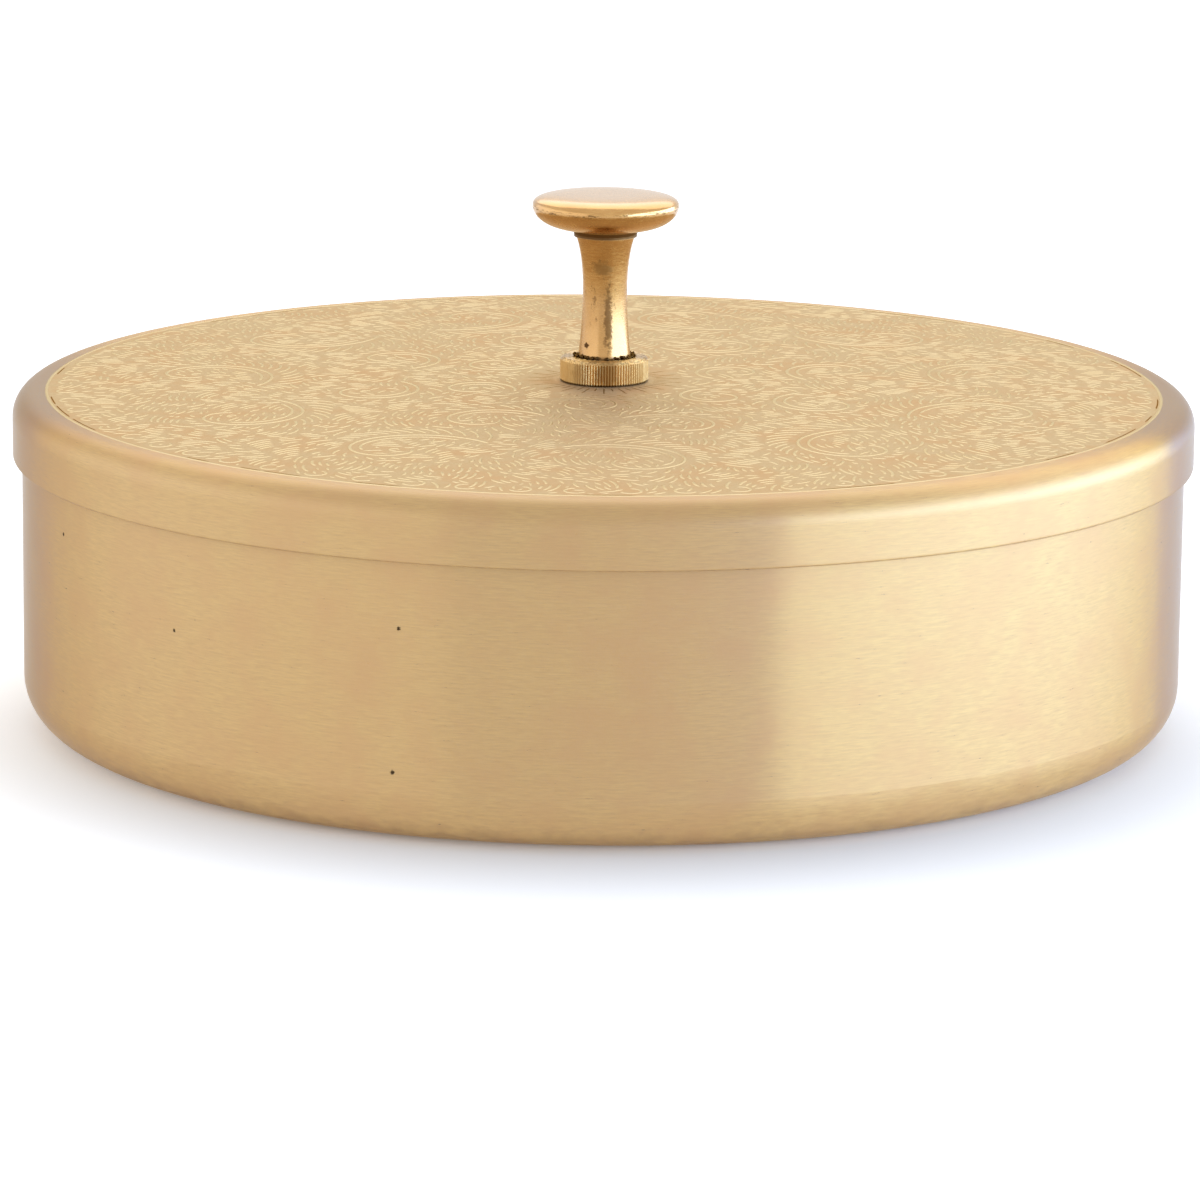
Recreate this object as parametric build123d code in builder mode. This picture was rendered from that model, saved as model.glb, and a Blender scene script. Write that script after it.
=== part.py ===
from build123d import *
from math import acos, degrees, sqrt
import os

# A round brass spice box: a drawn pan, a pressed lid with a turned knob, seven loose
# cups in a ring of six round one, and a small spoon that lies across the cups' rims.
# Millimetres, +Z up, origin at the middle of the box's base.

# Box
box_radius = 114.5          # outside of the wall
box_wall = 1.2              # brass sheet
box_corner_radius = 10.0    # outside, between base and wall
rim_rounding = 0.35         # dressed edge of the rim

# Lid
lid_wall = 1.2
lid_clearance = 0.6         # skirt to box wall, all round
lid_edge_height = 66.0      # from the base to where the crown would meet the skirt's face
lid_depth = 12.4            # from there down to the skirt's lower edge
lid_edge_radius = 4.8       # outside
lid_crown = 1.8             # how far the middle stands above the edge
lid_seat_radius = 9.6       # flat spot at the middle, under the collar
lid_border_inset = 6.7      # from the lid's outside to the raised line round the etched field
lid_border_roundness = 0.5  # radius of the raised line's section
lid_border_height = 0.12    # how far the line stands above the crown
lid_rest_gap = 0.3          # lid's inner corner to the box's rim
skirt_rounding = 0.4

# Collar under the knob
collar_radius = 8.7
collar_height = 4.8
collar_chamfer = 0.6
collar_recess_depth = 0.6
knurl_count = 96
knurl_depth = 0.22

# Knob, with heights above the collar's top
knob_foot_radius = 5.2
knob_foot_clearance = 0.15  # foot to the wall of the collar's recess
knob_foot_slope = -0.12     # outward run for each unit of rise
knob_waist_radius = 4.45
knob_waist_height = 15.0
knob_neck_radius = 5.8
knob_neck_height = 23.9
knob_neck_slope = 0.34
knob_lip_radius = 6.65
knob_lip_height = 1.5
knob_lip_flare = 0.45       # how much wider the lip is at its top than at its foot
knob_groove_width = 0.5     # straight part of the lip, above the neck
knob_head_radius = 14.45
knob_head_drop = 4.5        # from the head's widest line down to the lip
knob_head_crown = 2.3       # from the widest line up to the middle of the top
knob_head_flat_radius = 11.0  # about where the top starts to round over

# Screw and washer that hold the knob from inside the lid
screw_radius = 2.0
screw_length = 16.0
screw_tip_chamfer = 0.5
screw_hole_clearance = 0.15
screw_tap_clearance = 0.04
screw_tap_spare = 2.0       # tapped hole beyond the screw's end
screw_head_radius = 4.0
screw_head_height = 2.4
screw_head_rounding = 1.1
screw_slot_width = 1.2
screw_slot_depth = 1.1
washer_radius = 6.0
washer_thickness = 1.0

# Cups
cup_count = 6               # round the middle one
cup_gap = 1.0               # between the rims of neighbouring cups
cup_wall_gap = 1.8          # from an outer cup's rim to the box's wall
cup_wall = 0.8
cup_corner_radius = 8.0     # outside
cup_bead_radius = 1.1       # rolled rim

# Spoon
spoon_rest_gap = 0.3        # spoon to the cups' rims
spoon_headroom = 3.7        # spoon's bowl to the height of the screw's head
spoon_bowl_radius = 12.0
spoon_bowl_depth = 8.0      # outside
spoon_wall = 1.2
spoon_overhang = 5.4        # flat end of the handle, to each side of the rims that it lies on
spoon_handle_thickness = 1.4
spoon_neck_width = 4.4
spoon_end_width = 8.6
spoon_edge_rounding = 0.4

# Worked out from the sizes above: box and lid
box_inner_radius = box_radius - box_wall
lid_inner_radius = box_radius + lid_clearance
lid_radius = lid_inner_radius + lid_wall
lid_inner_edge_radius = lid_edge_radius - lid_wall
lid_top = lid_edge_height + lid_crown
lid_underside = lid_top - lid_wall
lid_border_radius = lid_radius - lid_border_inset

# The crown is an arc from the edge of the flat seat out to the skirt's face.
crown_run = lid_radius - lid_seat_radius
crown_radius = (crown_run**2 + lid_crown**2) / (2 * lid_crown)
border_run = lid_border_radius - lid_seat_radius
lid_border_crown = lid_top - crown_radius + sqrt(crown_radius**2 - border_run**2)

# The rim meets the lid in the rounding of the lid's inner corner, with the rest gap
# between the two round surfaces, and the box's height follows from that.
corner_centre_radius = lid_inner_radius - lid_inner_edge_radius
corner_centre_height = lid_edge_height - lid_edge_radius
rim_reach = box_radius - rim_rounding - corner_centre_radius
rim_offset = lid_inner_edge_radius - lid_rest_gap - rim_rounding
box_height = corner_centre_height + rim_rounding + sqrt(rim_offset**2 - rim_reach**2)

# Knob and its screw
collar_top = lid_top + collar_height
knob_base = collar_top - collar_recess_depth
screw_hole_radius = screw_radius + screw_hole_clearance
screw_tap_radius = screw_radius + screw_tap_clearance
washer_base = lid_underside - washer_thickness
screw_end = washer_base + screw_length

# Seven cups in a row of three fill the box from wall to wall.
cup_rim_radius = (box_inner_radius - cup_wall_gap - cup_gap) / 3
cup_pitch_radius = 2 * cup_rim_radius + cup_gap
cup_inner_radius = cup_rim_radius - 2 * cup_bead_radius
cup_outer_radius = cup_inner_radius + cup_wall

# The spoon lies under the screw's head, with its bowl and its handle's end where the
# middle cup's rim and a neighbour's are side by side. The cups come up to the spoon.
spoon_base = washer_base - screw_head_height - spoon_headroom - spoon_bowl_depth
spoon_bowl_place = -cup_pitch_radius / 2
spoon_end_place = cup_pitch_radius / 2 + spoon_overhang
cup_height = spoon_base - spoon_rest_gap - box_wall


def make_box():
    """The pan: a drawn cup of sheet with a rounded corner and a plain dressed rim."""
    with BuildPart() as box:
        Cylinder(box_radius, box_height, align=(Align.CENTER, Align.CENTER, Align.MIN))
        base_edge = box.faces().sort_by(Axis.Z)[0].edges()
        fillet(base_edge, box_corner_radius)
        top_face = box.faces().sort_by(Axis.Z)[-1]
        offset(amount=-box_wall, openings=top_face)
        rim_edges = box.faces().sort_by(Axis.Z)[-1].edges()
        fillet(rim_edges, rim_rounding)
    box.part.label = "box"
    return box.part


def make_lid():
    """The lid: a crowned cap with a short skirt, a flat spot for the knob and a raised border line."""
    with BuildPart() as lid:
        with BuildSketch(Plane.XZ):
            with BuildLine():
                axis_line = Line((0, lid_edge_height - lid_depth), (0, lid_top))
                seat_line = Line(axis_line @ 1, (lid_seat_radius, lid_top))
                crown_arc = TangentArc(seat_line @ 1, (lid_radius, lid_edge_height), tangent=(1, 0))
                skirt_line = Line(crown_arc @ 1, (lid_radius, lid_edge_height - lid_depth))
                Line(skirt_line @ 1, axis_line @ 0)
            profile = make_face()
            outer_corner = profile.vertices().group_by(Axis.X)[-1].sort_by(Axis.Y)[-1]
            fillet(outer_corner, lid_edge_radius)
        revolve(axis=Axis.Z)
        open_face = lid.faces().sort_by(Axis.Z)[0]
        offset(amount=-lid_wall, openings=open_face)
        skirt_edges = lid.faces().sort_by(Axis.Z)[0].edges()
        fillet(skirt_edges, skirt_rounding)
        with Locations((0, 0, lid_top)):
            Hole(screw_hole_radius, depth=2 * lid_wall)
        with Locations((0, 0, lid_border_crown + lid_border_height - lid_border_roundness)):
            Torus(lid_border_radius, lid_border_roundness)
    lid.part.label = "lid"
    return lid.part


def make_collar():
    """The knurled collar between lid and knob, dished on top for the knob's foot."""
    with BuildPart() as collar:
        with BuildSketch(Plane.XY.offset(lid_top)):
            Circle(collar_radius)
            Circle(screw_hole_radius, mode=Mode.SUBTRACT)
            with PolarLocations(collar_radius, knurl_count):
                Rectangle(sqrt(2) * knurl_depth, sqrt(2) * knurl_depth, rotation=45, mode=Mode.SUBTRACT)
        extrude(amount=collar_height)
        # The chamfers are turned after the knurl is rolled, so they cut its ends off.
        with BuildSketch(Plane.XZ):
            with BuildLine():
                Polyline(
                    (0, lid_top),
                    (collar_radius - collar_chamfer / 2, lid_top),
                    (collar_radius, lid_top + collar_chamfer / 2),
                    (collar_radius, collar_top - collar_chamfer),
                    (collar_radius - collar_chamfer, collar_top),
                    (0, collar_top),
                    close=True,
                )
            make_face()
        revolve(axis=Axis.Z, mode=Mode.INTERSECT)
        with BuildSketch(Plane.XY.offset(collar_top)):
            Circle(knob_foot_radius + knob_foot_clearance)
        extrude(amount=-collar_recess_depth, mode=Mode.SUBTRACT)
    collar.part.label = "knob_collar"
    return collar.part


def make_knob():
    """The turned knob: foot, waisted stem, neck with a lip, and a mushroom head."""
    neck = collar_top + knob_neck_height
    lip_top = neck + knob_lip_height
    widest = lip_top + knob_head_drop
    head_top = widest + knob_head_crown
    with BuildPart() as knob:
        with BuildSketch(Plane.XZ):
            with BuildLine():
                foot = Polyline((0, knob_base), (knob_foot_radius, knob_base), (knob_foot_radius, collar_top))
                stem = Spline(
                    foot @ 1,
                    (knob_waist_radius, collar_top + knob_waist_height),
                    (knob_neck_radius, neck),
                    tangents=((knob_foot_slope, 1), (knob_neck_slope, 1)),
                )
                lip = Polyline(
                    stem @ 1,
                    (knob_lip_radius - knob_lip_flare, neck),
                    (knob_lip_radius - knob_lip_flare, neck + knob_groove_width),
                    (knob_lip_radius, lip_top),
                )
                underside = EllipticalCenterArc(
                    (knob_lip_radius, widest),
                    knob_head_radius - knob_lip_radius,
                    knob_head_drop,
                    start_angle=270,
                    arc_size=90,
                )
                # The corner points make it upright at the widest line and level in the middle.
                top = Bezier(
                    underside @ 1,
                    (knob_head_radius, head_top),
                    (knob_head_flat_radius, head_top),
                    (0, head_top),
                )
                Line(top @ 1, foot @ 0)
            make_face()
        revolve(axis=Axis.Z)
        with BuildSketch(Plane.XY.offset(knob_base)):
            Circle(screw_tap_radius)
        extrude(amount=screw_end + screw_tap_spare - knob_base, mode=Mode.SUBTRACT)
    knob.part.label = "knob"
    return knob.part


def make_screw():
    """The slotted pan-head screw that comes up through the lid into the knob."""
    with BuildPart() as screw:
        with BuildSketch(Plane.XY.offset(washer_base)):
            Circle(screw_head_radius)
        extrude(amount=-screw_head_height)
        crown_edge = screw.faces().sort_by(Axis.Z)[0].edges()
        fillet(crown_edge, screw_head_rounding)
        with BuildSketch(Plane.XY.offset(washer_base - screw_head_height)):
            Rectangle(2 * screw_head_radius, screw_slot_width)
        extrude(amount=screw_slot_depth, mode=Mode.SUBTRACT)
        with BuildSketch(Plane.XY.offset(washer_base)):
            Circle(screw_radius)
        extrude(amount=screw_length)
        tip_edge = screw.faces().sort_by(Axis.Z)[-1].edges()
        chamfer(tip_edge, screw_tip_chamfer)
    screw.part.label = "knob_screw"
    return screw.part


def make_washer():
    """The flat washer between the screw's head and the lid."""
    with BuildPart() as washer:
        with BuildSketch(Plane.XY.offset(washer_base)):
            Circle(washer_radius)
            Circle(screw_hole_radius, mode=Mode.SUBTRACT)
        extrude(amount=washer_thickness)
    washer.part.label = "knob_washer"
    return washer.part


def make_cup(label, x, y):
    """A straight drawn cup with a rounded corner and a rolled rim, standing at x, y."""
    bead_radius = cup_inner_radius + cup_bead_radius
    bead_height = cup_height - cup_bead_radius
    # The bead starts at the wall's outside and ends where it is level with the inside.
    bead_start = 180 + degrees(acos((cup_bead_radius - cup_wall) / cup_bead_radius))
    bead_turn = 360 + 180 - bead_start
    with BuildPart() as cup:
        with BuildSketch(Plane((x, y, box_wall), x_dir=(1, 0, 0), z_dir=(0, -1, 0))) as profile:
            with BuildLine():
                bead = CenterArc((bead_radius, bead_height), cup_bead_radius, bead_start, bead_turn)
                outside = Polyline((0, 0), (cup_outer_radius, 0), bead @ 0)
                inside = Polyline(bead @ 1, (cup_inner_radius, cup_wall), (0, cup_wall))
                Line(inside @ 1, outside @ 0)
            make_face()
            base_corner = profile.vertices().sort_by_distance((cup_outer_radius, 0))[0]
            fillet(base_corner, cup_corner_radius)
            inner_corner = profile.vertices().sort_by_distance((cup_inner_radius, cup_wall))[0]
            fillet(inner_corner, cup_corner_radius - cup_wall)
        revolve(axis=Axis((x, y, 0), (0, 0, 1)))
    cup.part.label = label
    return cup.part


def make_spoon():
    """The spoon: a round bowl and a tapered strip handle that comes down to the rims."""
    bowl_top = spoon_base + spoon_bowl_depth
    sphere_radius = (spoon_bowl_radius**2 + spoon_bowl_depth**2) / (2 * spoon_bowl_depth)
    sphere_height = spoon_base + sphere_radius
    neck_place = spoon_bowl_place + spoon_bowl_radius - spoon_wall
    with BuildPart() as spoon:
        with BuildSketch(Plane.XZ):
            with BuildLine():
                pad = Line((spoon_end_place, spoon_base), (spoon_end_place - 2 * spoon_overhang, spoon_base))
                neck = Vector(neck_place, bowl_top - spoon_handle_thickness)
                middle = (pad @ 1 + neck) / 2
                rise = TangentArc(pad @ 1, middle, tangent=(-1, 0))
                TangentArc(rise @ 1, neck, tangent=rise % 1)
                offset(amount=spoon_handle_thickness, side=Side.RIGHT)
            make_face()
        extrude(amount=spoon_end_width / 2, both=True)
        with BuildSketch(Plane.XY.offset(spoon_base)):
            with BuildLine():
                end_centre = spoon_end_place - spoon_end_width / 2
                Polyline(
                    (end_centre, -spoon_end_width / 2),
                    (neck_place, -spoon_neck_width / 2),
                    (neck_place, spoon_neck_width / 2),
                    (end_centre, spoon_end_width / 2),
                )
                ThreePointArc(
                    (end_centre, spoon_end_width / 2),
                    (spoon_end_place, 0),
                    (end_centre, -spoon_end_width / 2),
                )
            make_face()
        extrude(amount=spoon_bowl_depth, mode=Mode.INTERSECT)
        # All edges but the upright ones and those that run across the strip.
        strip_edges = spoon.edges().filter_by(Axis.Z, reverse=True).filter_by(Axis.Y, reverse=True)
        fillet(strip_edges, spoon_edge_rounding)
        with Locations((spoon_bowl_place, 0, sphere_height)):
            Sphere(sphere_radius)
            Sphere(sphere_radius - spoon_wall, mode=Mode.SUBTRACT)
        split(bisect_by=Plane.XY.offset(bowl_top), keep=Keep.BOTTOM)
    spoon.part.label = "spoon"
    return spoon.part


parts = [make_box(), make_lid(), make_collar(), make_knob(), make_screw(), make_washer(), make_spoon()]
parts.append(make_cup("cup_centre", 0, 0))
for index in range(cup_count):
    place = Vector(cup_pitch_radius, 0, 0).rotate(Axis.Z, index * 360 / cup_count)
    parts.append(make_cup(f"cup_{index + 1}", place.X, place.Y))

os.makedirs("parts", exist_ok=True)
for part in parts:
    export_step(part, f"parts/{part.label}.step")
    print(part.label, "volume", round(part.volume, 1))
print("box height", round(box_height, 3))
print("cup height", round(cup_height, 3), "across its rim", round(2 * cup_rim_radius, 3))
print("spoon length", round(spoon_end_place - spoon_bowl_place + spoon_bowl_radius, 3))
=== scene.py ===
import logging
import math
import random
from collections.abc import Iterable
from dataclasses import dataclass, field, replace
from enum import Enum
from functools import partial

import bmesh
import bpy
from bpy.types import Material, Mesh, Node, NodeSocket, NodeTree, Object
from mathutils import Matrix, Vector


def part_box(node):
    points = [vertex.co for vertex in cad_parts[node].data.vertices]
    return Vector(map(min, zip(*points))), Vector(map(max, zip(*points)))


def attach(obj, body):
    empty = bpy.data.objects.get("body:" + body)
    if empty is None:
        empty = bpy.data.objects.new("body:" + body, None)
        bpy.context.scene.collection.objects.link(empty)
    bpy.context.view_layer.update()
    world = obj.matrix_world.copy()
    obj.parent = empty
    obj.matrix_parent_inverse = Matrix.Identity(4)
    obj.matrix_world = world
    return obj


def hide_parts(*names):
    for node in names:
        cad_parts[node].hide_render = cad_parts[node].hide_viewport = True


# A round spice box of brushed brass, with a scroll-etched lid and a turned knob.
# Sizes in the classes are millimetres, as on a drawing; the scene itself is in metres.

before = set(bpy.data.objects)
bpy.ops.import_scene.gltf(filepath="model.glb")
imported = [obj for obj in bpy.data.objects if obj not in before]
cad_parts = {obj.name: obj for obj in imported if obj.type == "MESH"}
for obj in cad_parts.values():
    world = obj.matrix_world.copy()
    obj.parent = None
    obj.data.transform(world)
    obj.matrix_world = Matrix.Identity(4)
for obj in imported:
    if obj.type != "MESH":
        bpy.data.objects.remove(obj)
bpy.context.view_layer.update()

log = logging.getLogger("spice_box")
MM = 0.001
FULL_TURN = 2 * math.pi


def linear(colour: str) -> tuple[float, float, float, float]:
    """Turns an sRGB hex colour into the linear colour that a node socket holds.

    Args:
        colour: a colour such as "#c9a36c".

    Returns:
        Red, green, blue and an alpha of 1.
    """
    values = [int(colour[place:place + 2], 16) / 255 for place in (1, 3, 5)]
    red, green, blue = (v / 12.92 if v <= 0.04045 else ((v + 0.055) / 1.055) ** 2.4 for v in values)
    return red, green, blue, 1.0


def add_node(tree: NodeTree, kind: str, inputs: dict | None = None, **settings) -> Node:
    """Adds a node with its settings, values and links.

    Args:
        tree: the tree that gets the node.
        kind: the node's type name.
        inputs: by name or number, a value, a socket to link, or a node for its first output in use.
        settings: the node's own properties.

    Returns:
        The new node.
    """
    node = tree.nodes.new(kind)
    for name, value in settings.items():
        setattr(node, name, value)
    for key, value in (inputs or {}).items():
        if isinstance(value, Node):
            value = next(output for output in value.outputs if output.enabled)
        if isinstance(value, NodeSocket):
            tree.links.new(value, node.inputs[key])
        else:
            node.inputs[key].default_value = value
    return node


def new_object(name: str, data: bpy.types.ID) -> Object:
    """Puts a mesh, a lamp or a camera into the scene.

    Args:
        name: the object's name.
        data: what it shows.

    Returns:
        The object, at the origin.
    """
    thing = bpy.data.objects.new(name, data)
    bpy.context.scene.collection.objects.link(thing)
    return thing


def new_material(name: str) -> tuple[Material, NodeTree]:
    """Makes an empty node material.

    Args:
        name: the material's name.

    Returns:
        The material and its node tree.
    """
    material = bpy.data.materials.new(name)
    material.use_nodes = True
    material.node_tree.nodes.clear()
    return material, material.node_tree


def start_growth(name: str, inputs: dict[str, str]) -> tuple[NodeTree, bpy.types.NodeOutputs]:
    """Starts a Geometry Nodes tree that takes a geometry and named inputs, and gives a geometry.

    Args:
        name: the tree's name.
        inputs: the kind of each input, such as "Float", by its name.

    Returns:
        The tree, and its inputs as sockets to link from.
    """
    tree = bpy.data.node_groups.new(name, "GeometryNodeTree")
    for label, kind in {"Geometry": "Geometry", **inputs}.items():
        tree.interface.new_socket(label, in_out="INPUT", socket_type="NodeSocket" + kind)
    tree.interface.new_socket("Geometry", in_out="OUTPUT", socket_type="NodeSocketGeometry")
    return tree, add_node(tree, "NodeGroupInput").outputs


def end_growth(tree: NodeTree, shape: Node, finish: NodeSocket, where: Node | bool = True) -> None:
    """Ends a Geometry Nodes tree: smooth, real and with its material.

    Args:
        tree: the tree.
        shape: the node that gives the shape.
        finish: the material's input.
        where: the faces that get the material.
    """
    smooth = add_node(tree, "GeometryNodeSetShadeSmooth", {"Geometry": shape})
    real = add_node(tree, "GeometryNodeRealizeInstances", {"Geometry": smooth})
    done = add_node(tree, "GeometryNodeSetMaterial", {
        "Geometry": real, "Selection": where, "Material": finish,
    })
    add_node(tree, "NodeGroupOutput", {"Geometry": done})


def grow(name: str, mesh: Mesh, tree: NodeTree, values: dict) -> Object:
    """Runs a Geometry Nodes tree on a mesh and keeps the result as a plain mesh.

    Args:
        name: the new piece's name.
        mesh: what the tree starts from.
        tree: the tree.
        values: the tree's inputs by name.

    Returns:
        The piece, at the origin.
    """
    source = new_object(name + "_source", mesh)
    modifier = source.modifiers.new("grow", "NODES")
    modifier.node_group = tree
    for item in tree.interface.items_tree:
        if item.in_out == "INPUT" and item.name in values:
            modifier[item.identifier] = values[item.name]
    evaluated = source.evaluated_get(bpy.context.evaluated_depsgraph_get())
    plain = bpy.data.meshes.new_from_object(evaluated)
    plain.name = name
    bpy.data.objects.remove(source)
    plain.calc_loop_triangles()
    log.info("%s: %d triangles", name, len(plain.loop_triangles))
    return new_object(name, plain)


class Grain(Enum):
    """The way the fine marks of a finish run."""

    AROUND = "circles about the upright axis"
    ALONG = "straight along the piece"
    EVEN = "no direction"


@dataclass(frozen=True)
class Band:
    """A dark belt between two heights, broken up by noise: patina on some pieces, painted shade on others."""

    low: float
    high: float
    edge: float
    patch_length: float
    patch_width: float
    cut: float
    share: float = 0.9
    patch_edge: float = 0.05


@dataclass(frozen=True)
class Spot:
    """A dark mark round a point, with an uneven edge: a stain, a pit or a painted dark reflection."""

    place: tuple[float, float, float]
    radius: float
    share: float = 0.9
    stretch: tuple[float, float, float] = (1.0, 1.0, 1.0)
    # In radii: where the edge starts and ends, and how far noise pushes it. Then the noise's fineness.
    edge: tuple[float, float] = (1.65, 2.1)
    push: float = 2.2
    fineness: float = 1.3


@dataclass(frozen=True)
class Brass:
    """A brass finish: two tones in fine marks, a slow mottling, gloss, lacquer, and dark bands and spots of
    patina and of painted shade.
    """

    name: str
    pale: str
    deep: str
    mottle: str
    grain: Grain = Grain.AROUND
    centre: tuple[float, float] = (0.0, 0.0)
    mark_length: float = 3.0
    mark_width: float = 0.3
    mark_depth: float = 0.006
    mark_range: tuple[float, float] = (0.3, 0.7)
    mottle_size: float = 14.0
    mottle_share: float = 0.35
    mottle_range: tuple[float, float] = (0.42, 0.72)
    roughness: float = 0.4
    roughness_spread: float = 0.08
    roughness_range: tuple[float, float] = (0.25, 0.75)
    anisotropy: float = 0.0
    grain_turn: float = 0.25
    edge_tint: str = "#a08458"
    lacquer: float = 0.0
    lacquer_ior: float = 1.5
    lacquer_roughness: float = 0.2
    # The colour and roughness of the dark bands and spots, patina and painted shade alike.
    tarnish_and_shade: str = "#4a3118"
    tarnish_and_shade_roughness: float = 0.55
    bands: tuple[Band, ...] = ()
    spots: tuple[Spot, ...] = ()

    def marks(self, tree: NodeTree, place: Node, length: float, width: float) -> Node:
        """Gives a vector in which one unit is one mark, long along the grain.

        Args:
            tree: the material's tree.
            place: the point in millimetres.
            length: a mark's length in millimetres.
            width: a mark's width in millimetres.

        Returns:
            The vector to read a noise at.
        """
        along, across = 1 / length, 1 / width
        stretch = {
            Grain.AROUND: (along, along, across),
            Grain.ALONG: (along, across, across),
            Grain.EVEN: (across, across, across),
        }[self.grain]
        if self.grain is Grain.AROUND:
            # Radius less height crosses the marks on walls and on flat faces alike.
            split = add_node(tree, "ShaderNodeSeparateXYZ", {"Vector": place}).outputs
            flat = add_node(tree, "ShaderNodeCombineXYZ", {"X": split["X"], "Y": split["Y"]})
            radius = add_node(tree, "ShaderNodeVectorMath", {0: flat}, operation="LENGTH")
            crossing = add_node(tree, "ShaderNodeMath", {0: radius, 1: split["Z"]}, operation="SUBTRACT")
            place = add_node(tree, "ShaderNodeCombineXYZ", {"X": split["X"], "Y": split["Y"], "Z": crossing})
        return add_node(tree, "ShaderNodeVectorMath", {0: place, 1: stretch}, operation="MULTIPLY")

    def colouring(self, tree: NodeTree, place: Node, strokes: Node) -> Node:
        """Mixes the marks' two tones and the mottling.

        Args:
            tree: the material's tree.
            place: the point in millimetres.
            strokes: the marks, from 0 to 1.

        Returns:
            The colour.
        """
        tone = add_node(tree, "ShaderNodeMapRange", {
            "Value": strokes, "From Min": self.mark_range[0], "From Max": self.mark_range[1],
        })
        toned = add_node(tree, "ShaderNodeMix", {
            0: tone, 6: linear(self.deep), 7: linear(self.pale),
        }, data_type="RGBA")
        slow = add_node(tree, "ShaderNodeTexNoise", {
            "Vector": place, "Scale": 1 / self.mottle_size, "Detail": 3.0, "Roughness": 0.6,
        })
        share = add_node(tree, "ShaderNodeMapRange", {
            "Value": slow, "From Min": self.mottle_range[0], "From Max": self.mottle_range[1],
            "To Max": self.mottle_share,
        })
        return add_node(tree, "ShaderNodeMix", {0: share, 6: toned, 7: linear(self.mottle)}, data_type="RGBA")

    def belt(self, tree: NodeTree, place: Node, band: Band) -> Node:
        """Gives a band's darkening, from 0 to 1.

        Args:
            tree: the material's tree.
            place: the point in millimetres.
            band: the band.

        Returns:
            The darkening's share.
        """
        height = add_node(tree, "ShaderNodeSeparateXYZ", {"Vector": place}).outputs["Z"]
        patches = add_node(tree, "ShaderNodeTexNoise", {
            "Vector": self.marks(tree, place, band.patch_length, band.patch_width),
            "Scale": 1.0, "Detail": 4.0, "Roughness": 0.65,
        })
        share: Node | float = 1.0
        for value, middle, edge, start, end in (
            (height, band.low, band.edge, 0.0, 1.0),
            (height, band.high, band.edge, band.share, 0.0),
            (patches, band.cut, band.patch_edge, 0.0, 1.0),
        ):
            part = add_node(tree, "ShaderNodeMapRange", {
                "Value": value, "From Min": middle - edge, "From Max": middle + edge,
                "To Min": start, "To Max": end,
            }, interpolation_type="SMOOTHSTEP")
            share = add_node(tree, "ShaderNodeMath", {0: share, 1: part}, operation="MULTIPLY")
        return share

    def blot(self, tree: NodeTree, place: Node, spot: Spot) -> Node:
        """Gives a spot's darkening, from 0 to 1.

        Args:
            tree: the material's tree.
            place: the point in millimetres.
            spot: the spot.

        Returns:
            The darkening's share.
        """
        away = add_node(tree, "ShaderNodeVectorMath", {0: place, 1: spot.place}, operation="SUBTRACT")
        shaped = add_node(tree, "ShaderNodeVectorMath", {0: away, 1: spot.stretch}, operation="DIVIDE")
        reach = add_node(tree, "ShaderNodeVectorMath", {0: shaped}, operation="LENGTH")
        ragged = add_node(tree, "ShaderNodeTexNoise", {
            "Vector": place, "Scale": spot.fineness / spot.radius, "Detail": 4.0, "Roughness": 0.7,
        })
        uneven = add_node(tree, "ShaderNodeMath", {
            0: ragged, 1: spot.push * spot.radius, 2: reach,
        }, operation="MULTIPLY_ADD")
        return add_node(tree, "ShaderNodeMapRange", {
            "Value": uneven, "From Min": spot.edge[0] * spot.radius, "From Max": spot.edge[1] * spot.radius,
            "To Min": spot.share, "To Max": 0.0,
        }, interpolation_type="SMOOTHSTEP")

    def material(self) -> Material:
        """Makes the material.

        Returns:
            The material, with its pattern in millimetres about the finish's centre.
        """
        material, tree = new_material(self.name)
        add = partial(add_node, tree)
        place = add("ShaderNodeMapping", {
            "Vector": add("ShaderNodeTexCoord").outputs["Object"],
            "Location": (-self.centre[0], -self.centre[1], 0.0),
            "Scale": (1 / MM, 1 / MM, 1 / MM),
        })
        strokes = add("ShaderNodeTexNoise", {
            "Vector": self.marks(tree, place, self.mark_length, self.mark_width),
            "Scale": 1.0, "Detail": 3.0, "Roughness": 0.65,
        })
        colour = self.colouring(tree, place, strokes)
        roughness = add("ShaderNodeMapRange", {
            "Value": strokes, "From Min": self.roughness_range[0], "From Max": self.roughness_range[1],
            "To Min": self.roughness - self.roughness_spread, "To Max": self.roughness + self.roughness_spread,
        })
        lacquer: Node | float = self.lacquer
        parts = [self.belt(tree, place, band) for band in self.bands]
        parts += [self.blot(tree, place, spot) for spot in self.spots]
        if parts:
            stain_and_shade: Node | float = 0.0
            for part in parts:
                stain_and_shade = add("ShaderNodeMath", {0: stain_and_shade, 1: part}, operation="MAXIMUM")
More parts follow.
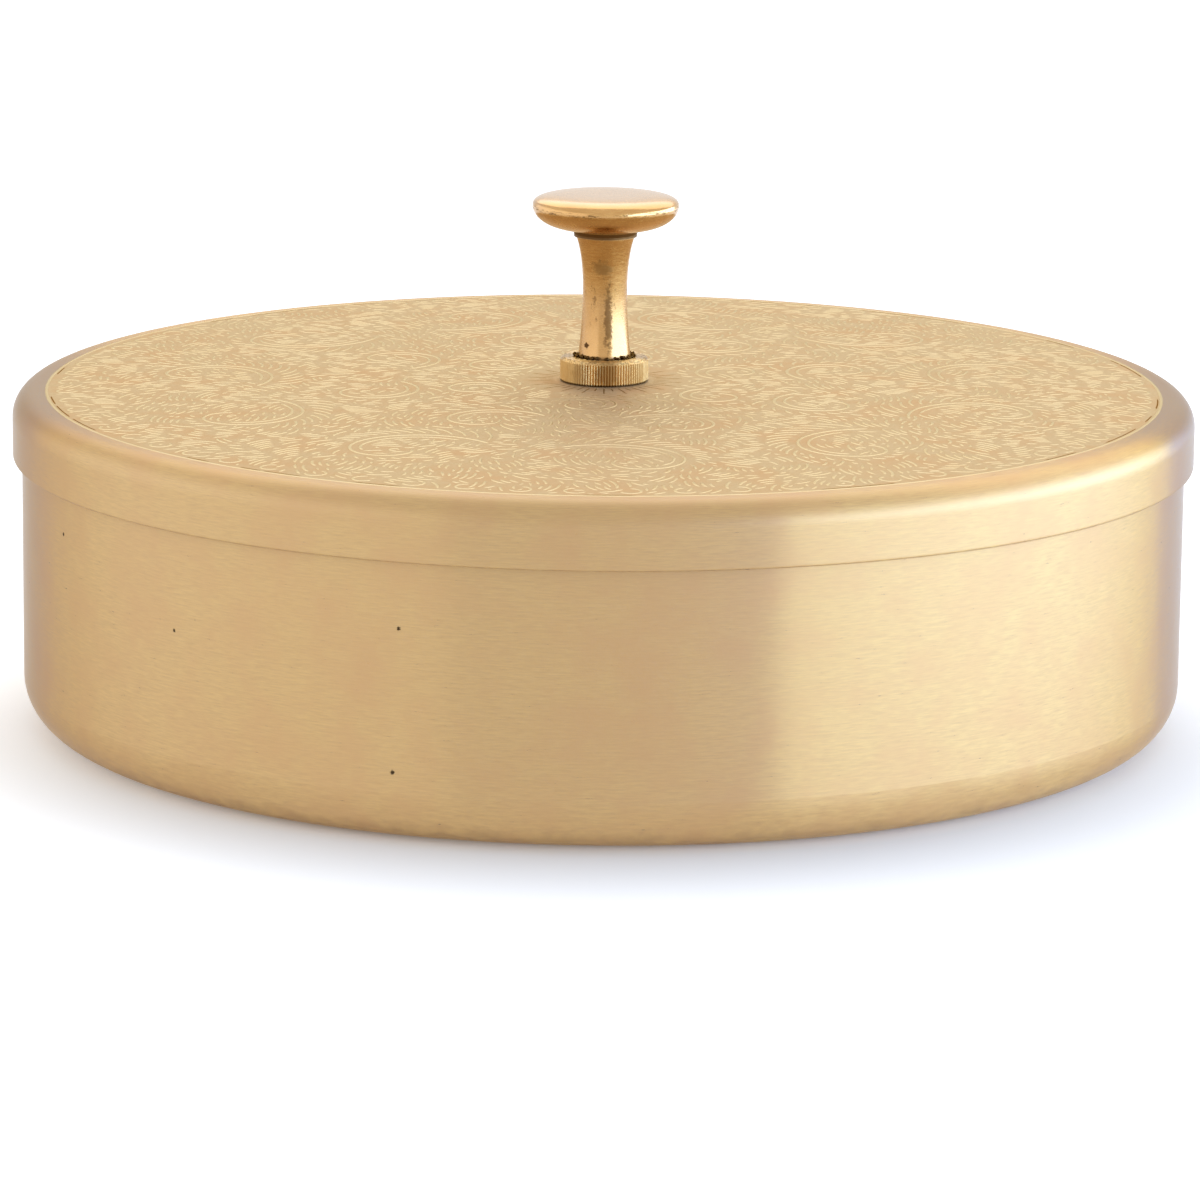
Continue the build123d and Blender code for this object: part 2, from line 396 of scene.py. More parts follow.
            # The patina comes where the lacquer has worn off; painted shade takes the lacquer away too.
            lacquer = add("ShaderNodeMapRange", {"Value": stain_and_shade, "To Min": self.lacquer, "To Max": 0.0})
            colour = add("ShaderNodeMix", {0: stain_and_shade, 6: colour, 7: linear(self.tarnish_and_shade)}, data_type="RGBA")
            roughness = add("ShaderNodeMix", {
                0: stain_and_shade, 2: roughness, 3: self.tarnish_and_shade_roughness,
            }, data_type="FLOAT")
        relief = add("ShaderNodeBump", {"Height": strokes, "Strength": 1.0, "Distance": self.mark_depth * MM})
        shader = add("ShaderNodeBsdfPrincipled", {
            "Base Color": colour,
            "Metallic": 1.0,
            "Roughness": roughness,
            "Specular Tint": linear(self.edge_tint),
            "Anisotropic": self.anisotropy,
            "Anisotropic Rotation": self.grain_turn,
            "Coat Weight": lacquer,
            "Coat IOR": self.lacquer_ior,
            "Coat Roughness": self.lacquer_roughness,
            "Normal": relief,
        })
        if self.anisotropy:
            tangent = add("ShaderNodeTangent", direction_type="RADIAL", axis="Z")
            tree.links.new(tangent.outputs["Tangent"], shader.inputs["Tangent"])
        add("ShaderNodeOutputMaterial", {"Surface": shader})
        return material


@dataclass(frozen=True)
class SoftBox:
    """A rectangular studio lamp behind cloth, aimed at the object, in degrees, metres and watts."""

    name: str
    azimuth: float
    elevation: float
    distance: float
    width: float
    height: float
    power: float
    colour: str = "#ffffff"

    def build(self, aim: Vector) -> None:
        """Makes the lamp.

        Args:
            aim: the point that it faces.
        """
        turn, rise = math.radians(self.azimuth), math.radians(self.elevation)
        direction = Vector((math.sin(turn) * math.cos(rise), -math.cos(turn) * math.cos(rise), math.sin(rise)))
        data = bpy.data.lights.new(self.name, "AREA")
        data.shape = "RECTANGLE"
        data.size, data.size_y = self.width, self.height
        data.energy = self.power
        data.color = linear(self.colour)[:3]
        lamp = new_object(self.name, data)
        lamp.location = aim + direction * self.distance
        lamp.rotation_euler = direction.to_track_quat("Z", "Y").to_euler()


@dataclass(frozen=True)
class PageGlow:
    """How the floor is brought up to the white page for some rays: little near a point, then more."""

    # The rays' outputs, the point and the two distances from it in metres, and the strengths there.
    rays: tuple[str, ...]
    middle: tuple[float, float, float]
    near: float
    far: float
    least: float
    most: float = 0.56


@dataclass
class Studio:
    """The plain pale floor, the soft light and the camera at the photograph's angle, in metres."""

    floor_half: float = 6.0
    paper: str = "#f1f3f5"
    glows: tuple[PageGlow, ...] = (
        # For the camera: weak round the object, which paints shade on the floor there.
        PageGlow(("Is Camera Ray",), (0.008, -0.012, 0.0), 0.1, 0.141, 0.1),
        PageGlow(("Is Glossy Ray", "Is Transmission Ray"), (0.0, 0.0, 0.0), 0.109, 0.114, 0.22),
    )
    room_level: float = 0.45
    camera_distance: float = 1.3
    camera_elevation: float = 12.51
    camera_roll: float = 0.58
    camera_aim: float = 0.0153
    camera_lens: float = 196.0
    camera_shift: tuple[float, float] = (-0.0012, 0.033)
    lamp_aim: float = 0.04
    lamps: tuple[SoftBox, ...] = (
        SoftBox("softbox_right", 83.5, 8.5, 0.8, 1.95, 0.36, 13.9, "#aacdff"),
        SoftBox("softbox_left", -83.0, 14.0, 0.8, 2.2, 0.45, 2.3, "#dfe9ff"),
        SoftBox("softbox_back", 171.0, 46.0, 1.2, 1.8, 1.0, 6.2),
    )

    def build_floor(self) -> None:
        """Makes the floor, a sheet of white paper."""
        half = self.floor_half
        mesh = bpy.data.meshes.new("floor")
        corners = [(-half, -half, 0.0), (half, -half, 0.0), (half, half, 0.0), (-half, half, 0.0)]
        mesh.from_pydata(corners, [], [(0, 1, 2, 3)])
        floor = new_object("floor", mesh)
        # Matt paper. The lift brings it up to the white page. For the camera the lift is weak near a point a
        # little right of and in front of the object's middle, so the floor greys round the object: painted
        # shade over the real shadow. In metal it is seen nearly up to the foot, as by a lit table.
        material, tree = new_material("white_paper")
        add = partial(add_node, tree)
        path = add("ShaderNodeLightPath").outputs
        place = add("ShaderNodeTexCoord").outputs["Object"]
        total: Node | float = 0.0
        for glow in self.glows:
            distance = add("ShaderNodeVectorMath", {0: place, 1: glow.middle}, operation="DISTANCE")
            level = add("ShaderNodeMapRange", {
                "Value": distance, "From Min": glow.near, "From Max": glow.far,
                "To Min": glow.least, "To Max": glow.most,
            })
            for ray in glow.rays:
                total = add("ShaderNodeMath", {0: path[ray], 1: level, 2: total}, operation="MULTIPLY_ADD")
        paper = add("ShaderNodeBsdfDiffuse", {"Color": linear(self.paper)})
        lift = add("ShaderNodeEmission", {"Strength": total})
        both = add("ShaderNodeAddShader", {0: paper, 1: lift})
        add("ShaderNodeOutputMaterial", {"Surface": both})
        mesh.materials.append(material)

    def build_world(self) -> None:
        """Makes the even room light, and the white page for rays that show it, straight or in metal."""
        world = bpy.data.worlds.new("studio")
        world.use_nodes = True
        world.node_tree.nodes.clear()
        add = partial(add_node, world.node_tree)
        path = add("ShaderNodeLightPath").outputs
        seen: Node | float = 0.0
        for ray in ("Is Camera Ray", "Is Glossy Ray", "Is Transmission Ray"):
            seen = add("ShaderNodeMath", {0: seen, 1: path[ray]}, operation="MAXIMUM")
        room = add("ShaderNodeBackground", {"Color": linear("#ffffff"), "Strength": self.room_level})
        page = add("ShaderNodeBackground", {"Color": linear("#ffffff"), "Strength": 1.0})
        either = add("ShaderNodeMixShader", {0: seen, 1: room, 2: page})
        add("ShaderNodeOutputWorld", {"Surface": either})
        bpy.context.scene.world = world

    def build_camera(self) -> None:
        """Makes the camera, at the angle from which the photograph was taken."""
        data = bpy.data.cameras.new("camera")
        data.lens = self.camera_lens
        data.shift_x, data.shift_y = self.camera_shift
        data.clip_end = 50.0
        camera = new_object("camera", data)
        rise = math.radians(self.camera_elevation)
        place = Vector((0, -math.cos(rise), math.sin(rise))) * self.camera_distance
        place.z += self.camera_aim
        camera.matrix_world = (
            Matrix.Translation(place)
            @ Matrix.Rotation(math.pi / 2 - rise, 4, "X")
            @ Matrix.Rotation(math.radians(self.camera_roll), 4, "Z")
        )
        bpy.context.scene.camera = camera

    def build(self) -> None:
        """Builds the floor, the light and the camera."""
        self.build_floor()
        self.build_world()
        for lamp in self.lamps:
            lamp.build(Vector((0, 0, self.lamp_aim)))
        self.build_camera()
        bpy.context.scene.view_settings.view_transform = "Standard"


@dataclass
class Outline:
    """The outline of a turned piece, as radius and height in millimetres, point by point."""

    points: list[tuple[float, float]]
    decorated: list[float] = field(default_factory=lambda: [0.0])

    def add(self, radius: float, height: float) -> None:
        """Adds a point, unless it is where the last one is.

        Args:
            radius: the point's radius.
            height: its height.
        """
        if math.dist((radius, height), self.points[-1]) > 1e-4:
            self.points.append((radius, height))
            self.decorated.append(0.0)

    def line(self, radius: float, height: float, support: float = 0.25) -> None:
        """Runs straight to a point, with a point near each end that keeps the corners crisp.

        Args:
            radius: where it ends.
            height: where it ends.
            support: the near points' distance from the ends.
        """
        start = self.points[-1]
        length = math.hypot(radius - start[0], height - start[1])
        shares = [support / length, 1 - support / length, 1.0] if length > 3 * support else [1.0]
        for share in shares:
            self.add(start[0] + (radius - start[0]) * share, start[1] + (height - start[1]) * share)

    def arc(self, centre: tuple[float, float], radius: float, start: float, end: float, steps: int) -> None:
        """Runs round an arc.

        Args:
            centre: the arc's middle.
            radius: its radius.
            start: its first angle in degrees, from straight out and towards up.
            end: its last angle.
            steps: how many runs it is divided into.
        """
        for step in range(steps + 1):
            turn = math.radians(start + (end - start) * step / steps)
            self.add(centre[0] + radius * math.cos(turn), centre[1] + radius * math.sin(turn))

    def decorate(self, outer: float) -> None:
        """Marks the points so far as the decorated field.

        Args:
            outer: the field's largest radius.
        """
        self.decorated = [1.0 if radius <= outer else 0.0 for radius, _ in self.points]


def turning_tree() -> NodeTree:
    """Makes the Geometry Nodes tree that turns an outline about the upright axis.

    Returns:
        The tree. Its outline lies in the plane of x and z.
    """
    tree, given = start_growth("turned_from_outline", {
        "Segments": "Int", "Finish": "Material", "Field Finish": "Material",
    })
    add, outline = partial(add_node, tree), given["Geometry"]
    count = add("GeometryNodeAttributeDomainSize", {"Geometry": outline}).outputs["Point Count"]
    rows = add("ShaderNodeMath", {0: given["Segments"], 1: 1.0}, operation="ADD")
    grid = add("GeometryNodeMeshGrid", {"Size X": 1.0, "Size Y": 1.0, "Vertices X": rows, "Vertices Y": count})
    # Each row of the grid is one copy of the outline.
    index = add("GeometryNodeInputIndex")
    share = add("ShaderNodeMath", {0: index, 1: count}, operation="DIVIDE")
    row = add("ShaderNodeMath", {0: share}, operation="FLOOR")
    passed = add("ShaderNodeMath", {0: row, 1: count}, operation="MULTIPLY")
    along = add("ShaderNodeMath", {0: index, 1: passed}, operation="SUBTRACT")
    turns = add("ShaderNodeMath", {0: row, 1: FULL_TURN}, operation="MULTIPLY")
    turn = add("ShaderNodeMath", {0: turns, 1: given["Segments"]}, operation="DIVIDE")
    point = add("GeometryNodeSampleIndex", {
        "Geometry": outline, "Value": add("GeometryNodeInputPosition"), "Index": along,
    }, data_type="FLOAT_VECTOR", domain="POINT")
    turned_point = add("ShaderNodeVectorRotate", {"Vector": point, "Angle": turn}, rotation_type="Z_AXIS")
    decorated = add("GeometryNodeInputNamedAttribute", {"Name": "decorated"}, data_type="FLOAT")
    mark = add("GeometryNodeSampleIndex", {
        "Geometry": outline, "Value": decorated, "Index": along,
    }, data_type="FLOAT", domain="POINT")
    stored = add("GeometryNodeStoreNamedAttribute", {
        "Geometry": grid, "Name": "decorated", "Value": mark,
    }, data_type="FLOAT", domain="POINT")
    shaped = add("GeometryNodeSetPosition", {"Geometry": stored, "Position": turned_point})
    closed = add("GeometryNodeMergeByDistance", {"Geometry": shaped, "Distance": 0.005 * MM})
    plain = add("GeometryNodeSetMaterial", {"Geometry": closed, "Material": given["Finish"]})
    inside = add("FunctionNodeCompare", {0: decorated, 1: 0.99}, data_type="FLOAT", operation="GREATER_THAN")
    end_growth(tree, plain, given["Field Finish"], inside)
    return tree


def turned(name: str, outline: Outline, segments: int, finish: Material, field_finish: Material) -> Object:
    """Makes a turned piece from its outline.

    Args:
        name: the piece's name.
        outline: half of its section.
        segments: how many steps a full turn has.
        finish: the material.
        field_finish: the material of the outline's decorated points.

    Returns:
        The piece, a closed plain mesh.
    """
    mesh = bpy.data.meshes.new(name)
    places = [(radius * MM, 0.0, height * MM) for radius, height in outline.points]
    mesh.from_pydata(places, [(place, place + 1) for place in range(len(places) - 1)], [])
    mesh.attributes.new("decorated", "FLOAT", "POINT").data.foreach_set("value", outline.decorated)
    piece = grow(name, mesh, turning_tree(), {
        "Segments": segments, "Finish": finish, "Field Finish": field_finish,
    })
    shell = bmesh.new()
    shell.from_mesh(piece.data)
    bmesh.ops.recalc_face_normals(shell, faces=shell.faces)
    shell.to_mesh(piece.data)
    shell.free()
    return piece


@dataclass
class Lid:
    """The pressed lid: a low crown with a rounded edge and a short skirt."""

    wall: float = 1.2
    outer_radius: float = 116.3
    top: float = 67.8
    edge_height: float = 66.0
    skirt_depth: float = 12.4
    edge_radius: float = 4.8
    seat_radius: float = 9.6
    hole_radius: float = 2.15
    rounding: float = 0.4
    field_end: float = 109.5
    field_gap: float = 0.1
    segments: int = 360

    def crown_radius(self) -> float:
        """Gives the radius of the crown's arc."""
        run, rise = self.outer_radius - self.seat_radius, self.top - self.edge_height
        return (run * run + rise * rise) / (2 * rise)

    def crown_angle(self, radius: float) -> float:
        """Gives the angle on the crown's arc at a radius, in degrees."""
        return math.degrees(math.acos((radius - self.seat_radius) / self.crown_radius()))

    def outline(self) -> Outline:
        """Gives the lid's section, from the screw's hole over the top and back underneath.

        Returns:
            The outline, with the etched field marked.
        """
        crown = self.crown_radius()
        middle = (self.seat_radius, self.top - crown)
        corner_run = self.outer_radius - self.edge_radius - self.seat_radius
        corner = (
            self.outer_radius - self.edge_radius,
            middle[1] + math.sqrt((crown - self.edge_radius) ** 2 - corner_run ** 2),
        )
        lean = math.degrees(math.acos(corner_run / (crown - self.edge_radius)))
        foot = self.edge_height - self.skirt_depth
        inner = self.outer_radius - self.wall
        shape = Outline([(self.hole_radius, self.top)])
        shape.line(self.seat_radius, self.top)
        shape.arc(middle, crown, 90.0, self.crown_angle(self.field_end), 24)
        shape.decorate(self.field_end + self.field_gap / 2)
        shape.arc(middle, crown, self.crown_angle(self.field_end + self.field_gap), lean, 3)
        shape.arc(corner, self.edge_radius, lean, 0.0, 14)
        shape.line(self.outer_radius, foot + self.rounding)
        shape.arc((self.outer_radius - self.rounding, foot + self.rounding), self.rounding, 0.0, -90.0, 5)
        shape.line(inner + self.rounding, foot)
        shape.arc((inner + self.rounding, foot + self.rounding), self.rounding, -90.0, -180.0, 5)
        shape.line(inner, corner[1])
        shape.arc(corner, self.edge_radius - self.wall, 0.0, lean, 12)
        shape.arc(middle, crown - self.wall, lean, 90.0, 24)
        shape.line(self.hole_radius, self.top - self.wall)
        shape.line(self.hole_radius, self.top)
        return shape

    def build(self, finish: Material, field_finish: Material) -> None:
        """Makes the lid in place of the CAD node.

        Args:
            finish: the brushed edge and skirt.
            field_finish: the etched ground.
        """
        piece = turned("lid_shell", self.outline(), self.segments, finish, field_finish)
        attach(piece, "lid")
        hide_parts("lid")


@dataclass
class Stroke:
    """One line on the lid: its points as x + iy in millimetres, and its half width."""

    points: list[complex]
    half_width: float
    end_share: float = 0.25

    def widths(self) -> list[float]:
        """Gives the half width at each point, narrow at both ends."""
        between = [self.half_width] * (len(self.points) - 2)
        return [self.half_width * self.end_share, *between, self.half_width * self.end_share]


@dataclass
class Ground:
    """The lid's face as a grid of small cells, which keeps the etched lines apart."""

    cell: float = 0.4
    taken: set[tuple[int, int]] = field(default_factory=set)

    def cell_of(self, point: complex) -> tuple[int, int]:
        """Gives the cell that a point lies in."""
        return math.floor(point.real / self.cell), math.floor(point.imag / self.cell)

    def is_free(self, point: complex) -> bool:
        """Says whether no line has come near a point."""
        return self.cell_of(point) not in self.taken

    def take(self, points: Iterable[complex], clearance: float) -> None:
        """Marks the cells round some points as used.

        Args:
            points: the points of a line.
            clearance: how far other lines keep away, in millimetres.
        """
        reach = math.ceil(clearance / self.cell)
        for point in points:
            column, row = self.cell_of(point)
            for across in range(-reach, reach + 1):
                for up in range(-reach, reach + 1):
                    if (across * across + up * up) * self.cell ** 2 <= clearance ** 2:
                        self.taken.add((column + across, row + up))


def unit(turn: float) -> complex:
    """Gives the point at a distance of 1 in a direction in radians."""
    return complex(math.cos(turn), math.sin(turn))


def divided(points: list[complex], step: float) -> list[complex]:
    """Divides a run of points so that neighbours are at most a step apart.

    Args:
        points: the run's points.
        step: the largest distance, in millimetres.

    Returns:
        The run with the points between added.
    """
    result = [points[0]]
    for start, end in zip(points, points[1:]):
        count = max(1, math.ceil(abs(end - start) / step))
        result.extend(start + (end - start) * part / count for part in range(1, count + 1))
    return result


def bent(start: complex, heading: float, length: float, bend: float, steps: int = 5) -> list[complex]:
    """Gives the points of a bent line.

    Args:
        start: where it starts.
        heading: its first direction, in radians.
        length: its length, in millimetres.
        bend: how far it turns along its length, in radians.
        steps: how many runs it has.

    Returns:
        The points.
    """
    points = [start]
    for step in range(steps):
        points.append(points[-1] + length / steps * unit(heading + bend * (step + 0.5) / steps))
    return points


@dataclass
class ScrollPattern:
    """The etched field of leafy scrolls, a traditional ornament, laid out line by line."""

    field_radius: float = 109.0
    edge_gap: float = 0.9
    point_step: float = 0.9
    line_half_width: float = 0.31
    line_spacing: float = 1.05
    ray_start: float = 9.4
    ray_end: float = 16.0
    short_ray_end: float = 13.2
    ray_count: int = 44
    ray_half_width: float = 0.16
    ray_step: float = 1.5
    ray_spacing: float = 1.2
    hook_count: int = 66
    hook_radius: float = 1.9
    hook_gap: float = 1.6
    hook_length: float = 8.6
    hook_bend: float = 4.4
    groove_count: int = 40
    groove_half_width: float = 0.17
    groove_gap: float = 0.1
    groove_lengths: tuple[float, float] = (4.0, 15.0)
    # Each ring of scrolls: its radius, how many scrolls it has and a scroll's radius.
    scroll_rings: tuple[tuple[float, int, float], ...] = ((81.0, 11, 18.5), (48.5, 8, 12.5), (27.5, 6, 8.5))
    stem_half_width: float = 0.34
    stem_steps: int = 40
    stem_turns: float = 0.95
    # How far round its ring the first scroll stands, in scrolls, and where its stem starts, in radians.
    stem_offset: float = 0.37
    stem_start: float = 2.4
    eye_radius: float = 3.2
    eye_start: float = 0.9
    eye_length: float = 4.6
    eye_bend: float = 5.2
    double_gap: float = 2.1
    double_points: tuple[int, int] = (2, 20)
    leaf_points: tuple[int, int] = (1, -8)
    leaf_gap: float = 1.9
    leaf_share: float = 0.46
    leaf_spread: tuple[float, float] = (0.85, 1.1)
    leaf_lean: float = 0.8
    hatch_spacing: float = 1.6
    # Each wave of the flow: its height in radians, its reach in millimetres and how many go round.
    waves: tuple[tuple[float, float, int], ...] = ((0.9, 9.0, 5), (0.5, -5.0, 11))
    flow_spread: float = 0.25
    spray_tries: int = 12000
    spray_sizes: tuple[float, float] = (3.6, 7.4)
    spray_pitch: float = 1.4
    spray_bend: float = 0.7
    spray_slant: float = 0.3
    spray_taper: float = 0.4
    sprig_tries: int = 60000
    sprig_lengths: tuple[float, float] = (1.8, 4.6)
    sprig_bends: tuple[float, float] = (0.3, 1.8)
    seed: int = 7
    ground: Ground = field(default_factory=Ground)
    strokes: dict[str, list[Stroke]] = field(default_factory=dict)
    chance: random.Random = field(init=False)

    def __post_init__(self) -> None:
        """Starts the pattern's own run of chance."""
        self.chance = random.Random(self.seed)

    def keep(self, group: str, points: list[complex], half_width: float) -> None:
        """Adds a line to its group."""
        self.strokes.setdefault(group, []).append(Stroke(points, half_width))

    def lay(
        self, group: str, points: list[complex], half_width: float | None = None, shortest: float = 2.2
    ) -> None:
        """Lays a line as far as the ground is free.

        Args:
            group: the group of lines that it belongs to.
            points: the line's points.
            half_width: half its width, in millimetres, where it isn't a common line's.
            shortest: the least length that is worth a line.
        """
        kept: list[complex] = []
        for point in divided(points, self.point_step):
            if abs(point) > self.field_radius - self.edge_gap or not self.ground.is_free(point):
                break
            kept.append(point)
        if sum(abs(end - start) for start, end in zip(kept, kept[1:])) >= shortest:
            self.ground.take(kept, self.line_spacing)
            self.keep(group, kept, half_width or self.line_half_width)

    def rays(self) -> None:
        """Lays the burst of rays round the collar, every other one short."""
        for number in range(self.ray_count):
            out = unit(FULL_TURN * number / self.ray_count)
            end = self.ray_end if number % 2 else self.short_ray_end
            points = divided([out * self.ray_start, out * end], self.ray_step)
            self.keep("rays", points, self.ray_half_width)
            self.ground.take(points, self.ray_spacing)

    def hooks(self) -> None:
        """Lays the small hooks that stand along the border."""
        reach = self.field_radius - self.hook_radius - self.hook_gap
        for number in range(self.hook_count):
            turn = FULL_TURN * number / self.hook_count
            hand = 1 if number % 2 else -1
            start = (reach - self.hook_radius) * unit(turn)
            points = bent(start, turn - hand * math.pi / 2, self.hook_length, hand * self.hook_bend, 9)
            self.lay("border", points, shortest=3.0)

    def grooves(self) -> None:
        """Lays thin broken grooves along the border, which hold the dark of old polish."""
        reach, steps = self.field_radius - self.groove_gap, 8
        for _ in range(self.groove_count):
            start = self.chance.uniform(-math.pi, math.pi)
            sweep = self.chance.uniform(*self.groove_lengths) / reach
            points = [reach * unit(start + sweep * step / steps) for step in range(steps + 1)]
            self.keep("grooves", points, self.groove_half_width)

    def scroll(self, centre: complex, radius: float, start: float, hand: int) -> None:
        """Lays a scroll: a stem that winds in, doubled at first, with short lines on its outer side.

        Args:
            centre: the middle that it winds round.
            radius: its outer radius, in millimetres.
            start: the angle at which it starts, in radians.
            hand: 1 or -1, the way it winds.
        """
        shrink = math.log(radius / self.eye_radius) / self.stem_steps
        sweep = hand * FULL_TURN * self.stem_turns / self.stem_steps
        stem = [
            centre + radius * math.exp(-shrink * step) * unit(start + sweep * step)
            for step in range(self.stem_steps + 1)
        ]
        self.lay("stems", stem, self.stem_half_width)
        # The second line stops where the scroll is too tight for both.
        self.lay("stems", [
            centre + (point - centre) * (1 - self.double_gap / abs(point - centre))
            for point in stem[slice(*self.double_points)]
        ])
        # The stem's last runs are too tight for leaves.
        passed = self.hatch_spacing
        for before, point in zip(stem, stem[slice(*self.leaf_points)]):
            passed += abs(point - before)
            if passed < self.hatch_spacing:
                continue
            passed = 0.0
            outward = (point - centre) / abs(point - centre)
            heading = math.atan2(outward.imag, outward.real) + hand * self.leaf_lean
            length = self.leaf_share * abs(point - centre) * self.chance.uniform(*self.leaf_spread)
            self.lay("sprays", bent(point + self.leaf_gap * outward, heading, length, hand * self.leaf_lean))
        self.lay("stems", bent(centre + self.eye_start, math.pi / 2, self.eye_length, self.eye_bend, 8))

    def scrolls(self) -> None:
        """Lays the rings of scrolls, wound left and right in turn."""
        for ring, count, radius in self.scroll_rings:
            for number in range(count):
                turn = FULL_TURN * (number + self.stem_offset) / count
                hand = 1 if number % 2 else -1
                self.scroll(ring * unit(turn), radius, turn + hand * self.stem_start, hand)

    def flow(self, point: complex) -> float:
        """Gives the direction of the filling lines at a point, in radians: outwards, in waves."""
        turn, radius = math.atan2(point.imag, point.real), abs(point)
        return turn + sum(high * math.sin(radius / reach + count * turn) for high, reach, count in self.waves)

    def spray(self, root: complex, heading: float, size: float, hand: int) -> None:
        """Lays a spray, a set of curved lines side by side that get shorter.

        Args:
            root: where the first line starts.
            heading: the way it grows, in radians.
            size: its length, in millimetres.
            hand: 1 or -1, the way it curls.
        """
        ahead = unit(heading)
        aside = ahead * complex(0, hand)
        lines = max(3, round(size / self.spray_pitch))
        for number in range(lines):
            share = number / (lines - 1)
            start = root + number * self.hatch_spacing * aside + self.spray_slant * size * share * ahead
            length = size * (1 - self.spray_taper * share)
            self.lay("sprays", bent(start, heading, length, hand * self.spray_bend))

    def fill(self) -> None:
        """Fills the ground between the scrolls with sprays, then with single short lines."""
        for attempt in range(self.spray_tries + self.sprig_tries):
            reach = self.field_radius * math.sqrt(self.chance.random())
            point = reach * unit(self.chance.uniform(-math.pi, math.pi))
            if reach < self.ray_end or not self.ground.is_free(point):
                continue
            heading = self.flow(point) + self.chance.uniform(-self.flow_spread, self.flow_spread)
            hand = self.chance.choice((-1, 1))
            if attempt < self.spray_tries:
                self.spray(point, heading, self.chance.uniform(*self.spray_sizes), hand)
            else:
                bend = hand * self.chance.uniform(*self.sprig_bends)
                length = self.chance.uniform(*self.sprig_lengths)
                self.lay("sprigs", bent(point, heading, length, bend, 4), shortest=1.3)

    def build(self) -> dict[str, list[Stroke]]:
        """Lays out the whole pattern.

        Returns:
            The lines by group.
        """
        for part in (self.rays, self.hooks, self.grooves, self.scrolls, self.fill):
            part()
        return self.strokes


